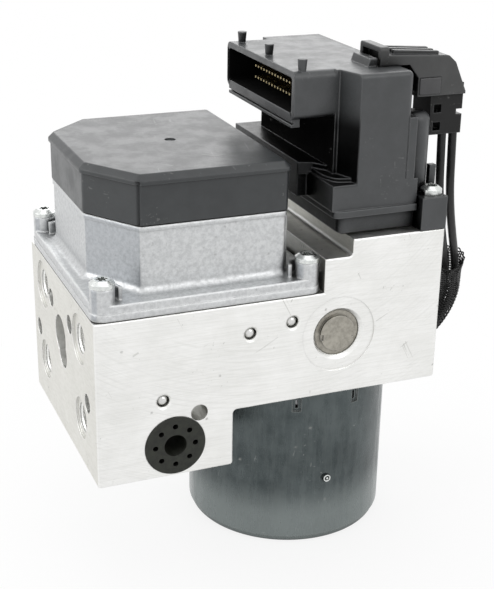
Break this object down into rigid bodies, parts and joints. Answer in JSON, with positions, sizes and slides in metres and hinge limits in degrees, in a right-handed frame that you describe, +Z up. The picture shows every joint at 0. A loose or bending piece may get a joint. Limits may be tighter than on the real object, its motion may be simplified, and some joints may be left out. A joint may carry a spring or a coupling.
{
  "type": "anti-lock brake module",
  "caption": "Anti-lock brake unit: milled valve block with pump motor below, solenoid housing and electronic control unit on top.",
  "frame": {"origin": "middle of the motor can's flat bottom, on the motor's axis", "axes": "+Z up along the motor's axis, +X towards the control unit's right side, +Y towards the back"},
  "size_m": [0.1667, 0.089, 0.1871],
  "materials": {
    "block_alloy": "milled, bright",
    "cast_alloy": "die-cast, as cast",
    "motor_steel": "grey coated deep-drawn steel, satin",
    "plated_steel": "zinc plated",
    "bright_steel": "ground",
    "black_plastic": "glass-filled moulding, satin",
    "unit_plastic": "glass-filled moulding, satin",
    "plug_plastic": "moulding, satin",
    "grey_plastic": "moulding, satin",
    "coil_plastic": "moulding, matt",
    "seal_rubber": "matt",
    "bush_rubber": "matt",
    "gasket": "matt",
    "copper": "enamelled wire",
    "gold_contact": "gold plated",
    "tin_contact": "tin plated",
    "iron_core": "laminated",
    "ferrite": "matt",
    "carbon": "matt",
    "board": "green lacquer",
    "relay_plastic": "matt",
    "wire_cover": "satin",
    "sleeve_braid": "braided"
  },
  "bodies": {
    "unit": {"valve_block": "block_alloy", "ball_plugs": "bright_steel", "pump_plug_front": "plated_steel", "pump_plug_rear": "plated_steel", "pump_spring_front": "bright_steel", "pump_spring_rear": "bright_steel", "mount_bush_front": "bush_rubber", "mount_bush_rear": "bush_rubber", "accumulator_spring_front": "bright_steel", "accumulator_spring_rear": "bright_steel", "accumulator_cover_front": "plated_steel", "accumulator_cover_rear": "plated_steel", "motor_can": "motor_steel", "motor_end_shield": "cast_alloy", "motor_magnets": "ferrite", "lower_bearing": "bright_steel", "upper_bearing": "bright_steel", "brush_holder": "coil_plastic", "brushes": "carbon", "motor_screws": "plated_steel", "motor_seal": "seal_rubber", "inlet_valves": "bright_steel", "outlet_valves": "bright_steel", "valve_coils": "coil_plastic", "contact_plate": "coil_plastic", "valve_housing": "cast_alloy", "housing_gasket": "gasket", "housing_screws": "plated_steel", "cap_seal": "seal_rubber", "cap": "black_plastic", "ecu_base": "unit_plastic", "ecu_gasket": "gasket", "ecu_screws": "plated_steel", "ecu_housing": "unit_plastic", "circuit_board": "board", "pump_relay": "relay_plastic", "valve_relay": "relay_plastic", "connector_pins": "gold_contact", "plug_header_pins": "tin_contact", "plug_housing": "plug_plastic", "plug_carrier": "plug_plastic", "plug_lock": "grey_plastic", "lead_wires": "wire_cover", "lead_sleeve": "sleeve_braid", "lead_grommet": "seal_rubber"},
    "rotor": {"motor_shaft": "bright_steel", "armature_core": "iron_core", "armature_winding": "copper", "commutator": "copper", "eccentric_bearing": "bright_steel"},
    "pump_piston_front": {"pump_piston_front": "bright_steel"},
    "pump_piston_rear": {"pump_piston_rear": "bright_steel"},
    "accumulator_piston_front": {"accumulator_piston_front": "cast_alloy"},
    "accumulator_piston_rear": {"accumulator_piston_rear": "cast_alloy"}
  },
  "joints": [
    {"name": "motor_spin", "type": "hinge", "parent": "unit", "child": "rotor", "pos_m": [0, 0, 0.05], "axis": [0, 0, 1], "continuous": true},
    {"name": "pump_stroke_front", "type": "slide", "parent": "unit", "child": "pump_piston_front", "axis": [0, 1, 0], "range_m": [0, 0.00115]},
    {"name": "pump_stroke_rear", "type": "slide", "parent": "unit", "child": "pump_piston_rear", "axis": [0, -1, 0], "range_m": [0, 0.00115]},
    {"name": "accumulator_stroke_front", "type": "slide", "parent": "unit", "child": "accumulator_piston_front", "axis": [0, 0, -1], "range_m": [0, 0.007], "stiffness_N_per_m": 2000, "springref_m": -0.004, "deforming": ["accumulator_spring_front"]},
    {"name": "accumulator_stroke_rear", "type": "slide", "parent": "unit", "child": "accumulator_piston_rear", "axis": [0, 0, -1], "range_m": [0, 0.007], "stiffness_N_per_m": 2000, "springref_m": -0.004, "deforming": ["accumulator_spring_rear"]}
  ]
}
